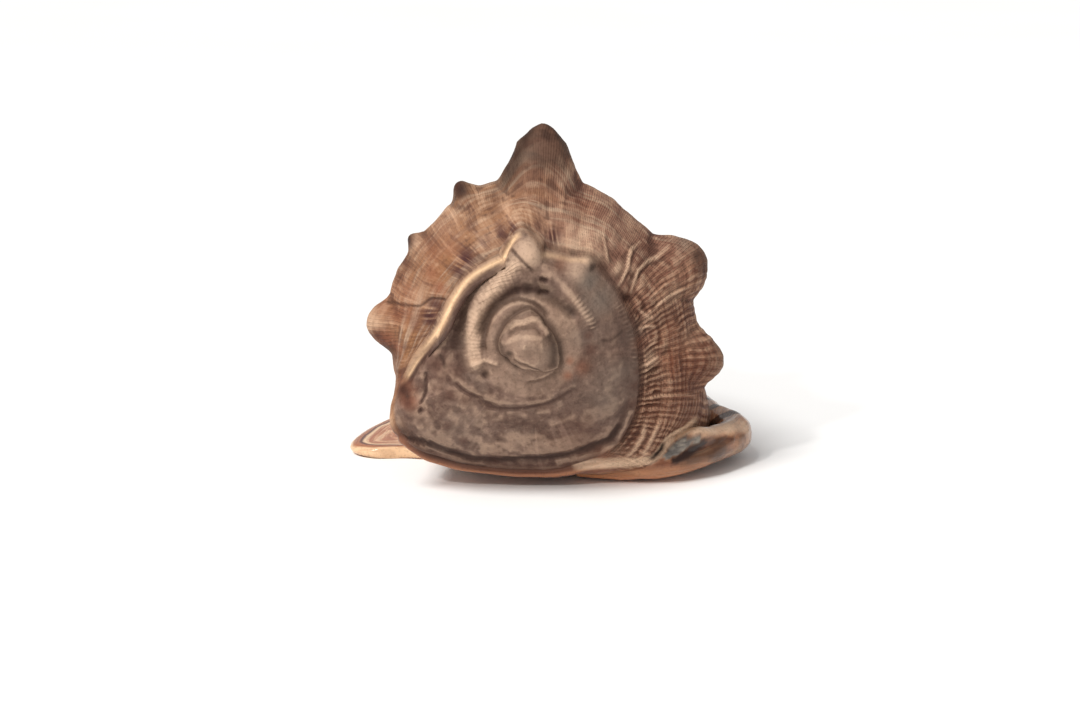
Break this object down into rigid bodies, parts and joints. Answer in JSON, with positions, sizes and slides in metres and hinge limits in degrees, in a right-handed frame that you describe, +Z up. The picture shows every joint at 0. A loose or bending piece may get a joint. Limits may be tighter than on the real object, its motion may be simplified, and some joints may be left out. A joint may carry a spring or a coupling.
{
  "type": "helmet shell",
  "caption": "Large coiled sea shell with a tall shoulder horn, a flat spire, a rolled outer lip and a broad flat sole that it rests on, aperture down.",
  "frame": {"origin": "middle of the bounding box in X and Y, on the plane that the sole rests on", "axes": "+Z up from the sole, -Y towards the spire's apex, +Y towards the canal, +X towards the outer lip"},
  "size_m": [0.1596, 0.2002, 0.1371],
  "materials": {
    "shell": "satin"
  },
  "bodies": {
    "root": {"helmet_shell": "shell"}
  },
  "joints": []
}
